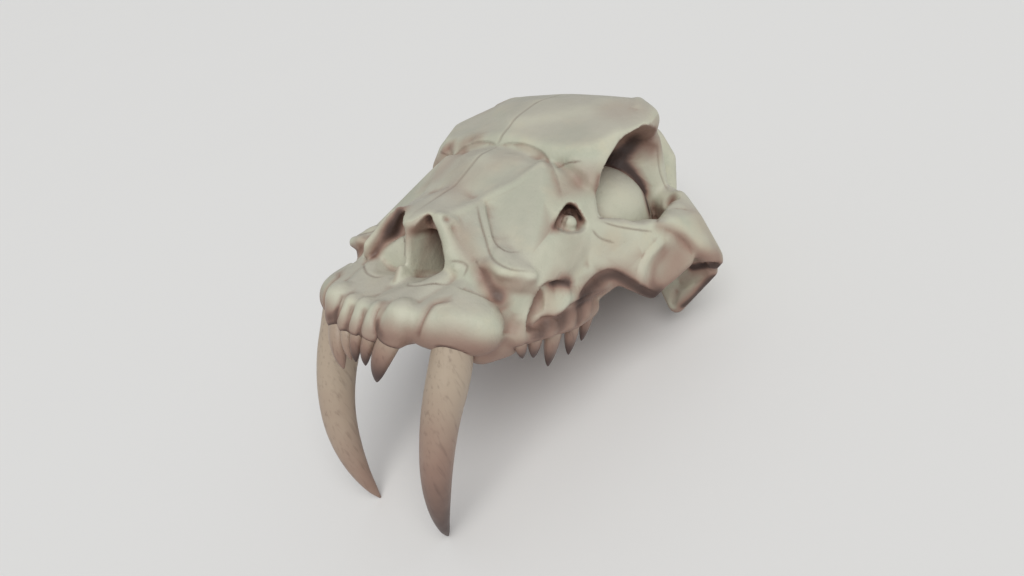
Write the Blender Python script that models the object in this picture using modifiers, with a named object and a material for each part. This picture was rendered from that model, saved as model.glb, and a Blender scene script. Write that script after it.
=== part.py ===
# Skull of a sabre-toothed cat, without its lower jaw.
#
# The cranium is one bone. Its two long canines, five incisors and ten cheek
# teeth sit in sockets with a thin gap. Everything is modelled in the skull's
# own frame, in millimetres: X to the skull's left, Y backwards from the front
# of the snout, Z up from the palate. At the end the skull is pitched up and
# set down, so that it rests on the canine tips and on the back of its base.

import math

import bmesh
import bpy
import numpy as np
from mathutils import Matrix, Vector

MM = 0.001

# Driving sizes in millimetres
CANINE_LINE = [(54.3, 43.0, 18.0), (54.3, 41.5, 2.0), (54.0, 40.0, -12.0),
               (53.8, 37.5, -24.0), (52.8, 34.2, -42.0), (51.3, 33.1, -62.0),
               (48.8, 35.0, -83.0), (45.4, 40.0, -103.0), (40.9, 48.4, -124.0),
               (37.6, 55.6, -137.0), (35.9, 59.3, -143.0)]
CANINE_RADII = [11.0, 13.2, 14.1, 14.1, 13.1, 11.9, 10.6, 8.8, 5.6, 2.7, 0.7]
CANINE_SIDES = 14
SOCKET_GAP = 0.35
INCISOR_SIDES = 8
CHEEK_SIDES = 8

BONE_VOXEL = 2.0
BONE_TRIANGLES = 5900
ROUGH_SMOOTHING = 3
BONE_SMOOTHING = 6

COLOURS = {
    "bone": (0.53, 0.52, 0.40, 1.0),
    "tooth": (0.36, 0.29, 0.23, 1.0),
}

# Masses of the bone. Each is the hull of a few balls (x, y, z, radius), and
# each is made again on the skull's right side with x turned round.
BONE_MASSES = {
    "premaxilla": [(0, 17, 6, 7), (12, 18, 6, 7.5), (25.5, 20.5, 7, 10),
                   (0, 21, 10, 10), (13, 21, 10, 10), (27, 23, 11, 11),
                   (0, 50, 21, 9), (20, 53, 24, 9), (33, 56, 32, 9),
                   (0, 84, 12, 10), (42, 80, 12, 12)],
    "centre_root": [(0, 14, 5, 6.6), (0, 20, 16, 8)],
    "second_root": [(12, 14.6, 5, 6.8), (13, 20, 16, 8)],
    "third_root": [(26.5, 19, 5.8, 10), (30, 24, 16, 12)],
    "canine_bulge": [(42, 34, 12, 14.5), (64, 52, 11, 16.5), (58, 66, 13, 18.5),
                     (48, 62, 26, 14), (54.5, 42.5, 11, 17)],
    "behind_canine": [(58, 62, -0.5, 14.5), (62, 76, 1.5, 14.5),
                      (46, 66, 0, 12)],
    "cheek_lip": [(60, 66, 46, 5), (70, 66, 44.5, 4.5), (80, 80, 42, 5),
                  (60, 76, 52, 6)],
    "cheek_front": [(31, 61, 42, 6), (31, 60, 52, 5), (18, 69, 66, 7),
                    (25, 92, 74, 8), (60, 70, 40, 8), (73, 77, 38.5, 8),
                    (50, 66, 30, 12), (40, 96, 30, 10), (74, 96, 32, 9)],
    "cheek_back": [(25, 98, 76, 8), (33, 118, 84, 8), (44, 134, 100, 9),
                   (73, 78, 38.5, 8), (79, 98, 33, 8), (67, 117, 61, 9),
                   (70, 147, 87, 7.5), (76, 144, 66, 9), (76, 142, 24, 9),
                   (40, 120, 40, 10), (50, 140, 60, 10)],
    "nasal_front": [(0, 53.5, 67.5, 3), (0, 60, 69, 5), (13, 65, 70, 5.5),
                    (0, 98, 83, 8), (25, 94, 76, 7), (20, 72, 66, 6)],
    "nasal_back": [(0, 98, 83, 8), (26, 98, 79, 7), (0, 122, 104, 8),
                   (0, 136, 108, 9), (46, 136, 100, 8), (0, 140, 84, 12)],
    "nasal_spine": [(0, 44, 28, 4), (0, 46.5, 39, 2.5), (0, 56, 30, 4)],
    "septum": [(0, 52, 44, 1.9), (0, 52, 62, 1.9), (0, 58, 32, 2.2),
               (0, 104, 38, 2.2), (0, 104, 78, 2.2)],
    "snout_core": [(0, 108, 34, 10), (0, 108, 76, 8), (40, 104, 40, 12),
                   (0, 150, 40, 12), (40, 146, 72, 12), (0, 146, 92, 10),
                   (34, 74, 36, 8), (34, 92, 60, 8)],
    "tooth_row": [(76, 74, 6.5, 9), (77, 90, 7.5, 9), (78, 108, 8, 9.5),
                  (79, 126, 8.5, 9.5), (79, 144, 13, 9.5), (60, 100, 13, 10),
                  (66, 150, 20, 10), (72, 110, 24, 9)],
    "root_edge": [(82, 92, 18, 4), (86, 108, 19, 4), (88, 126, 22, 4),
                  (88, 150, 28, 4), (80, 96, 32, 6), (80, 140, 40, 8)],
    "palate": [(0, 50, 15, 7), (46, 60, 14, 8), (66, 100, 17, 7),
               (66, 148, 20, 7), (0, 156, 24, 8), (30, 168, 24, 8)],
    "nasal_floor": [(0, 60, 22, 8), (34, 70, 22, 10), (50, 130, 26, 10),
                    (0, 150, 28, 10)],
    "crown": [(0, 158, 128, 10.5), (0, 184, 138.5, 13), (0, 215, 145, 13.5),
              (0, 262, 146, 14), (40, 190, 137.5, 12), (44, 215, 143.5, 13),
              (34, 250, 144, 13.5), (62, 230, 141, 12)],
    "forehead": [(0, 148, 118, 11), (0, 168, 131, 10), (0, 204, 143, 12),
                 (0, 262, 148, 11), (40, 204, 143, 12), (30, 252, 147, 11),
                 (58, 226, 144, 12), (68, 222, 140, 11), (46, 150, 112, 10),
                 (64, 156, 114, 9), (74, 175, 125, 8), (79, 194, 129, 7),
                 (72, 216, 133, 9), (56, 244, 137, 10)],
    "brow": [(60, 150, 108, 9), (71, 150, 96, 8), (72, 158, 110, 8),
             (73, 174, 124, 8), (60, 168, 122, 10)],
    "braincase": [(38, 220, 60, 38), (0, 215, 66, 40), (0, 262, 84, 42),
                  (26, 262, 80, 34)],
    "temple": [(34, 238, 100, 34), (0, 232, 112, 34), (24, 266, 92, 34),
               (0, 270, 106, 34), (64, 238, 124, 9), (66, 244, 84, 14),
               (48, 238, 136, 11)],
    "orbit_wall": [(0, 140, 92, 14), (20, 150, 90, 14), (0, 200, 100, 24),
                   (26, 196, 84, 20), (0, 150, 50, 14), (22, 160, 48, 12)],
    "sagittal_crest": [(0, 236, 148, 8), (0, 276, 152, 5), (0, 304, 148, 4),
                       (0, 296, 110, 14)],
    "nuchal_crest": [(0, 304, 146, 5), (34, 300, 132, 5), (55, 293, 112, 4),
                     (60, 288, 86, 5), (0, 290, 100, 20), (34, 280, 90, 14)],
    "occiput": [(0, 298, 96, 16), (36, 292, 80, 14), (0, 300, 46, 18),
                (44, 286, 50, 14), (54, 278, 40, 10)],
    "condyle": [(20, 308, 32, 11), (14, 300, 26, 11), (24, 300, 44, 10)],
    "mastoid": [(60, 282, 8, 8), (56, 280, 50, 12), (70, 272, 46, 9),
                (48, 282, 20, 8)],
    "skull_base": [(0, 190, 40, 14), (16, 196, 40, 10), (0, 296, 34, 12),
                   (28, 280, 36, 14), (30, 240, 44, 14)],
    "bulla": [(38, 256, 26, 13), (32, 268, 24, 11)],
    "pterygoid": [(30, 168, 24, 5), (26, 210, 28, 4), (27, 204, 8, 3),
                  (29, 176, 18, 4)],
    "jugal": [(79, 142, 67, 7), (82, 140, 46, 8), (95, 170, 64, 6),
              (101, 172, 30, 7), (100, 190, 66, 6), (107, 182, 24, 7),
              (112, 200, 38, 7)],
    "maxilla_rear": [(72, 146, 17, 9), (74, 168, 28, 8), (80, 148, 44, 8),
                     (88, 168, 44, 7), (98, 170, 42, 6), (60, 160, 26, 8)],
    "jugal_rear": [(100, 184, 66, 6), (107, 184, 26, 7), (110, 204, 66, 6),
                   (116, 210, 44, 7)],
    "arch_rear": [(106, 200, 68, 8), (110, 222, 70, 8), (124, 222, 50, 7),
                  (128, 234, 42, 7), (98, 240, 83, 7)],
    "arch_root": [(98, 240, 83, 7), (112, 226, 69, 8), (72, 246, 84, 10),
                  (74, 256, 66, 10), (100, 244, 62, 8), (126, 236, 44, 7)],
    "glenoid": [(126, 236, 42, 7), (92, 240, 44, 8), (70, 250, 50, 12),
                (100, 250, 54, 8), (70, 264, 50, 10)],
    "postglenoid": [(123, 238, 34, 5), (95, 247, 0, 6.5), (84, 250, 40, 8),
                    (96, 254, 34, 6), (84, 248, 14, 6)],
}

# Hollows cut from the bone, as hulls of balls, also on both sides.
BONE_HOLLOWS = {
    "nostril": [(5, 22, 38, 3), (5, 30, 60, 3), (13, 40, 69, 4),
                (24, 34, 64, 4), (32, 30, 54, 4), (33, 30, 45, 4),
                (20, 24, 38, 3), (6, 96, 42, 4), (6, 96, 72, 4),
                (16, 96, 66, 6), (26, 90, 48, 6)],
    "airway": [(8, 90, 52, 5), (20, 94, 52, 8), (8, 160, 40, 6),
               (16, 160, 40, 8), (10, 190, 22, 8)],
    "orbit": [(98, 176, 96, 26), (62, 176, 94, 22), (100, 192, 108, 14),
              (90, 204, 110, 14), (60, 196, 110, 8), (84, 178, 122, 7),
              (84, 198, 129, 7), (80, 216, 127, 7), (74, 230, 118, 7),
              (58, 205, 118, 9)],
    "brow_foramen": [(80, 99, 73, 2.5), (80, 117, 83, 2.5),
                     (80, 124, 82, 2.5), (82, 135, 68, 2.5),
                     (82, 114, 66, 2.5), (60, 125, 68, 2.5),
                     (60, 140, 75, 2.5), (62, 150, 64, 2.5),
                     (62, 135, 62, 2.5)],
    "brain_opening": [(0, 326, 42, 14), (0, 290, 48, 13), (0, 268, 51, 11)],
    "nape_hollow": [(27, 327, 102, 22), (22, 326, 84, 18)],
    "cheek_hollow": [(90, 92, 25, 8), (83, 106, 29, 6), (86, 90, 14, 6)],
    "palate_vault": [(0, 60, -2, 8), (30, 72, -6, 10), (54, 104, -4, 10),
                     (54, 146, -2, 12), (0, 160, 0, 12)],
}

# Masses that stand inside the hollows
INNER_MASSES = {
    "orbit_floor": [(40, 216, 61, 40), (34, 220, 58, 38)],
    "orbit_pillar": [(64, 128, 64, 9), (60, 140, 66, 9), (63, 128, 52, 6)],
}

# Teeth as (root x, y, z), (tip x, y, z), root radii across and along, and how
# far the middle bows forward
INCISORS = {
    "incisor_centre": ((0, 13, 5), (0, 11, -17), (4.8, 4.4), 1.5),
    "incisor_second": ((12, 13.6, 5), (7, 13, -18), (4.9, 4.6), 2.0),
    "incisor_third": ((26.2, 18.5, 6), (16.5, 14, -26.5), (7.8, 6.6), 3.0),
}
CHEEK_TEETH = {
    "cheek_tooth_a": ((78, 75, 4), (76, 81.4, -11.6), (4.2, 5.4), 0.0),
    "cheek_tooth_b": ((78, 90.5, 5), (76, 92.5, -13.8), (4.6, 7.4), 0.0),
    "cheek_tooth_c": ((79, 109, 6), (77, 106.8, -22.7), (5.2, 9.0), 0.0),
    "cheek_tooth_d": ((80, 128, 7), (79, 126.5, -18.5), (4.8, 7.4), 0.0),
    "cheek_tooth_e": ((80, 145.5, 11), (79, 141.1, -11.6), (4.2, 7.0), 0.0),
}


def clear_scene():
    for old in list(bpy.data.objects):
        bpy.data.objects.remove(old, do_unlink=True)


def new_collection(name):
    made = bpy.data.collections.new(name)
    bpy.context.scene.collection.children.link(made)
    return made


def new_material(name, colour, roughness):
    made = bpy.data.materials.new(name)
    made.use_nodes = True
    shader = made.node_tree.nodes["Principled BSDF"]
    shader.inputs["Base Color"].default_value = colour
    shader.inputs["Roughness"].default_value = roughness
    shader.inputs["Metallic"].default_value = 0.0
    made.diffuse_color = colour
    return made


def object_from_bmesh(name, bm, collection):
    mesh = bpy.data.meshes.new(name)
    bm.to_mesh(mesh)
    bm.free()
    made = bpy.data.objects.new(name, mesh)
    collection.objects.link(made)
    return made


def add_ball_hull(target, balls, side, grow=0.0):
    """Add to a bmesh the convex hull of balls, on one side of the skull."""
    hull = bmesh.new()
    for x, y, z, radius in balls:
        place = Matrix.Translation(Vector((side * x, y, z)))
        bmesh.ops.create_icosphere(hull, subdivisions=2, radius=radius + grow,
                                   matrix=place)
    result = bmesh.ops.convex_hull(hull, input=hull.verts)
    inside = [item for item in result["geom_interior"]
              if isinstance(item, bmesh.types.BMVert)]
    bmesh.ops.delete(hull, geom=inside, context="VERTS")
    loose = [vert for vert in hull.verts if not vert.link_faces]
    bmesh.ops.delete(hull, geom=loose, context="VERTS")
    bmesh.ops.recalc_face_normals(hull, faces=hull.faces)
    mesh = bpy.data.meshes.new("hull")
    hull.to_mesh(mesh)
    hull.free()
    target.from_mesh(mesh)
    bpy.data.meshes.remove(mesh)


def hull_group(name, masses, collection, grow=0.0):
    """One object of every named mass on both sides of the skull."""
    bm = bmesh.new()
    for balls in masses.values():
        for side in (1, -1):
            add_ball_hull(bm, balls, side, grow)
    return object_from_bmesh(name, bm, collection)


def apply_modifiers(item):
    """Replace an object's mesh with its evaluated one."""
    depsgraph = bpy.context.evaluated_depsgraph_get()
    mesh = bpy.data.meshes.new_from_object(item.evaluated_get(depsgraph))
    old = item.data
    item.modifiers.clear()
    item.data = mesh
    bpy.data.meshes.remove(old)


def remesh(item, voxel):
    modifier = item.modifiers.new("voxels", "REMESH")
    modifier.mode = "VOXEL"
    modifier.voxel_size = voxel
    apply_modifiers(item)


def smooth(item, steps, factor=0.5):
    modifier = item.modifiers.new("smooth", "SMOOTH")
    modifier.iterations = steps
    modifier.factor = factor
    apply_modifiers(item)


def cut(item, cutter):
    modifier = item.modifiers.new("cut", "BOOLEAN")
    modifier.operation = "DIFFERENCE"
    modifier.solver = "EXACT"
    modifier.object = cutter
    apply_modifiers(item)


def hide_cutter(cutter):
    cutter.hide_render = True
    cutter.display_type = "WIRE"


def keep_largest_body(item):
    """Drop crumbs that the hollows left loose."""
    bm = bmesh.new()
    bm.from_mesh(item.data)
    left = set(bm.verts)
    bodies = []
    while left:
        stack = [left.pop()]
        body = set(stack)
        while stack:
            vert = stack.pop()
            for edge in vert.link_edges:
                other = edge.other_vert(vert)
                if other in left:
                    left.discard(other)
                    body.add(other)
                    stack.append(other)
        bodies.append(body)
    bodies.sort(key=len, reverse=True)
    crumbs = [vert for body in bodies[1:] for vert in body]
    bmesh.ops.delete(bm, geom=crumbs, context="VERTS")
    bm.to_mesh(item.data)
    bm.free()


def tooth_profile(along):
    """Share of a tooth's root radius that is left this far to its tip."""
    return max(0.0, 1.0 - along ** 2.2) ** 0.75


def smooth_path(points, radii, steps):
    """Points and radii on a smooth curve through the given ones."""
    given = np.array([list(point) + [radius]
                      for point, radius in zip(points, radii)], float)
    spans = np.linalg.norm(np.diff(given[:, :3], axis=0), axis=1)
    reach = np.concatenate([[0.0], np.cumsum(spans)])
    slopes = np.gradient(given, reach, axis=0)
    result = []
    for at in np.linspace(0.0, reach[-1], steps):
        index = min(int(np.searchsorted(reach, at, side="right")) - 1,
                    len(spans) - 1)
        span = spans[index]
        share = (at - reach[index]) / span
        start, end = given[index], given[index + 1]
        h00 = 2 * share ** 3 - 3 * share ** 2 + 1
        h10 = share ** 3 - 2 * share ** 2 + share
        h01 = -2 * share ** 3 + 3 * share ** 2
        h11 = share ** 3 - share ** 2
        result.append(h00 * start + h10 * span * slopes[index]
                      + h01 * end + h11 * span * slopes[index + 1])
    return [(Vector(row[:3]), float(row[3])) for row in result]


def loft_tooth(name, stations, across, sides, collection):
    """Closed tooth through rings of (centre, width, depth) stations.

    across is the direction of each ring's width.
    """
    bm = bmesh.new()
    rings = []
    for index, (centre, width, depth) in enumerate(stations):
        before = stations[max(index - 1, 0)][0]
        after = stations[min(index + 1, len(stations) - 1)][0]
        forward = (after - before).normalized()
        side = (across - forward * across.dot(forward)).normalized()
        other = forward.cross(side)
        ring = []
        for number in range(sides):
            turn = 2 * math.pi * number / sides
            ring.append(bm.verts.new(centre + side * width * math.cos(turn)
                                     + other * depth * math.sin(turn)))
        rings.append(ring)
    for first, second in zip(rings, rings[1:]):
        for number in range(sides):
            after = (number + 1) % sides
            bm.faces.new((first[number], first[after], second[after],
                          second[number]))
    bm.faces.new(list(reversed(rings[0])))
    bm.faces.new(rings[-1])
    bmesh.ops.recalc_face_normals(bm, faces=bm.faces)
    return object_from_bmesh(name, bm, collection)


def make_canine(name, side, collection, grow=0.0):
    points = [(side * x, y, z) for x, y, z in CANINE_LINE]
    path = smooth_path(points, CANINE_RADII, 17)
    stations = [(centre, radius * 0.92 + grow, radius * 1.06 + grow)
                for centre, radius in path]
    if grow:
        first = stations[0]
        stations[0] = (first[0] + Vector((0, 0, grow)), first[1], first[2])
    outward = Vector((side * 0.95, 0.31, 0.0))
    return loft_tooth(name, stations, outward, CANINE_SIDES, collection)


def make_small_tooth(name, side, shape, sides, collection, grow=0.0):
    root, tip, (across, along), bow = shape
    start = Vector((side * root[0], root[1], root[2]))
    end = Vector((side * tip[0], tip[1], tip[2]))
    if grow:
        start += (start - end).normalized() * grow
    steps = 7
    stations = []
    for index in range(steps):
        share = 0.97 * index / (steps - 1)
        centre = start.lerp(end, share)
        centre.y -= bow * math.sin(math.pi * share)
        left = max(tooth_profile(share), 0.06)
        stations.append((centre, across * left + grow, along * left + grow))
    return loft_tooth(name, stations, Vector((side, 0.25, 0.0)), sides,
                      collection)


def all_teeth():
    """Every tooth as (name, maker, side, shape, sides)."""
    found = []
    for side, word in ((1, "left"), (-1, "right")):
        found.append((f"canine_{word}", side, None, CANINE_SIDES))
        for name, shape in INCISORS.items():
            if name != "incisor_centre":
                found.append((f"{name}_{word}", side, shape, INCISOR_SIDES))
        for name, shape in CHEEK_TEETH.items():
            found.append((f"{name}_{word}", side, shape, CHEEK_SIDES))
    found.append(("incisor_centre", 1, INCISORS["incisor_centre"],
                  INCISOR_SIDES))
    return found


def make_tooth(name, side, shape, sides, collection, grow=0.0):
    if shape is None:
        return make_canine(name, side, collection, grow)
    return make_small_tooth(name, side, shape, sides, collection, grow)


def make_cranium(collection, cutters):
    bone = hull_group("cranium", BONE_MASSES, collection)
    remesh(bone, BONE_VOXEL)
    smooth(bone, ROUGH_SMOOTHING)
    hollows = hull_group("hollows", BONE_HOLLOWS, cutters)
    remesh(hollows, BONE_VOXEL)
    hide_cutter(hollows)
    cut(bone, hollows)
    inner = hull_group("inner_masses", INNER_MASSES, cutters)
    bm = bmesh.new()
    bm.from_mesh(bone.data)
    bm.from_mesh(inner.data)
    bm.to_mesh(bone.data)
    bm.free()
    hide_cutter(inner)
    remesh(bone, BONE_VOXEL)
    keep_largest_body(bone)
    smooth(bone, BONE_SMOOTHING)
    return bone


def decimate(item, triangles):
    modifier = item.modifiers.new("fewer", "DECIMATE")
    faces = sum(len(face.vertices) - 2 for face in item.data.polygons)
    modifier.ratio = triangles / faces
    apply_modifiers(item)


def seat_teeth(bone, teeth, cutters):
    """Cut each tooth's socket, a little wider than the tooth."""
    for name, side, shape, sides in teeth:
        socket = make_tooth(f"socket_{name}", side, shape, sides, cutters,
                            SOCKET_GAP)
        hide_cutter(socket)
        cut(bone, socket)


def rest_on_floor(items):
    """Pitch the skull so that it stands on its canine tips and its base."""
    points = []
    for item in items:
        points += [vert.co.copy() for vert in item.data.vertices]
    tip = min(points, key=lambda point: point.z)
    behind = [point for point in points if point.y > tip.y + 60]
    pitch = min(math.atan2(point.z - tip.z, point.y - tip.y)
                for point in behind)
    turn = Matrix.Rotation(-pitch, 4, "X")
    turned = [turn @ point for point in points]
    low = Vector([min(point[axis] for point in turned) for axis in range(3)])
    high = Vector([max(point[axis] for point in turned) for axis in range(3)])
    shift = Vector((-(low.x + high.x) / 2, -(low.y + high.y) / 2, -low.z))
    stand = bpy.data.objects.new("rest_pose", None)
    bpy.context.scene.collection.objects.link(stand)
    stand.matrix_world = (Matrix.Scale(MM, 4) @ Matrix.Translation(shift)
                          @ turn)
    for item in items:
        item.parent = stand
    return stand


def main():
    clear_scene()
    skull = new_collection("smilodon_skull")
    cutters = new_collection("cutters")
    bone = make_cranium(skull, cutters)
    decimate(bone, BONE_TRIANGLES)
    teeth = all_teeth()
    seat_teeth(bone, teeth, cutters)
    bone.data.materials.clear()
    bone.data.materials.append(new_material("bone", COLOURS["bone"], 0.6))
    tooth_material = new_material("tooth", COLOURS["tooth"], 0.45)
    items = [bone]
    for name, side, shape, sides in teeth:
        tooth = make_tooth(name, side, shape, sides, skull)
        tooth.data.materials.append(tooth_material)
        tooth.data.shade_smooth()
        items.append(tooth)
    rest_on_floor(items)


main()
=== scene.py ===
# %% [markdown]
# # The skull of a sabre-toothed cat
# This lesson dresses a imported model of a sabre-toothed cat's skull. The model
# gives the frame: one cranium, two long canines, five incisors and ten cheek
# teeth, resting on the canine tips and on the back of the skull's base. Every
# piece that we make here takes the place of one of those solids, and shows
# what they leave out: sutures, rims, the swellings over the tooth roots, the
# brown painted shade in the hollows and the polish of the teeth.

# %% Load the imported model
import math
import time
import bmesh
import bpy
import numpy as np
from mathutils import Matrix, Vector
from mathutils.bvhtree import BVHTree


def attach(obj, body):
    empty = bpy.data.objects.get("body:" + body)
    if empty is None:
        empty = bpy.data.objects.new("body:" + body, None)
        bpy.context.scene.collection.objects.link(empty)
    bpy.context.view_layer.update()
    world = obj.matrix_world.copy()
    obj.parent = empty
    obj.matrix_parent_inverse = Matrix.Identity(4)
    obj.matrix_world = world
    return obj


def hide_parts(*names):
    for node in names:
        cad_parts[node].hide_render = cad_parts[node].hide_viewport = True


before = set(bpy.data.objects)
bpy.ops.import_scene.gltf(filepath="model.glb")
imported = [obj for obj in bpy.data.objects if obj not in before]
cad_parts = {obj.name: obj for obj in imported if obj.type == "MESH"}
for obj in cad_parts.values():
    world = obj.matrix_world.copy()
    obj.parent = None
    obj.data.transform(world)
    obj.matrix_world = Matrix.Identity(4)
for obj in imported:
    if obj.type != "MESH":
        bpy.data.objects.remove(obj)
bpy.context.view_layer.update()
started = time.time()

# %% [markdown]
# ## The skull's own frame
# A skull is easiest to shape in its own frame, in millimetres: X to its left,
# Y backwards from the front of the snout, Z up from the palate. The real skull
# leans back on the floor, so one matrix turns that frame into the place where
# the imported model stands.

# %% Where the skull stands
PITCH = math.radians(-32.6081)
SHIFT = (-0.253, -153.572, 152.564)
STAND = (Matrix.Scale(0.001, 4) @ Matrix.Translation(SHIFT)
         @ Matrix.Rotation(PITCH, 4, "X"))
print("stand", [round(value, 4) for value in STAND.translation])

# %% [markdown]
# ## The camera
# The photograph looks at the skull from its left and front, a little from
# above. A camera is a place and three axes; these were found from the outline
# of the two canines and the midline. They are written in the skull's frame,
# because marks on the photograph are also laid onto the bone through them.

# %% Place the camera
FRAME_WIDE, FRAME_HIGH, REACH = 1024, 576, 695.0
EYE = Vector((336.95, -242.93, 125.63))
RIGHT = Vector((0.75956, 0.64913, 0.04130))
DOWN = Vector((0.17131, -0.13840, -0.97545))
AHEAD = Vector((-0.62747, 0.74798, -0.21633))


def make_camera():
    data = bpy.data.cameras.new("photo_camera")
    data.sensor_width = 36.0
    data.lens = REACH / FRAME_WIDE * data.sensor_width
    data.clip_start = 0.01
    item = bpy.data.objects.new("photo_camera", data)
    bpy.context.scene.collection.objects.link(item)
    axes = Matrix((RIGHT, -DOWN, -AHEAD)).transposed()
    turn = STAND.to_3x3().normalized() @ axes
    item.matrix_world = (Matrix.Translation(STAND @ EYE)
                         @ turn.normalized().to_4x4())
    bpy.context.scene.camera = item
    return item


bpy.context.scene.view_settings.view_transform = "Standard"
camera = make_camera()
print("camera", [round(value, 3) for value in camera.location])

# %% [markdown]
# ## The masses of the bone
# A cranium is many bones grown into one, and none of it is straight. It could
# be sculpted with a brush, but a script can be corrected number by number. So
# it starts as lumps, as a sculptor blocks out clay. Each lump is a convex hull
# stretched over a few balls, given as x, y, z and radius, and is made on both
# sides of the skull.

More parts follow.
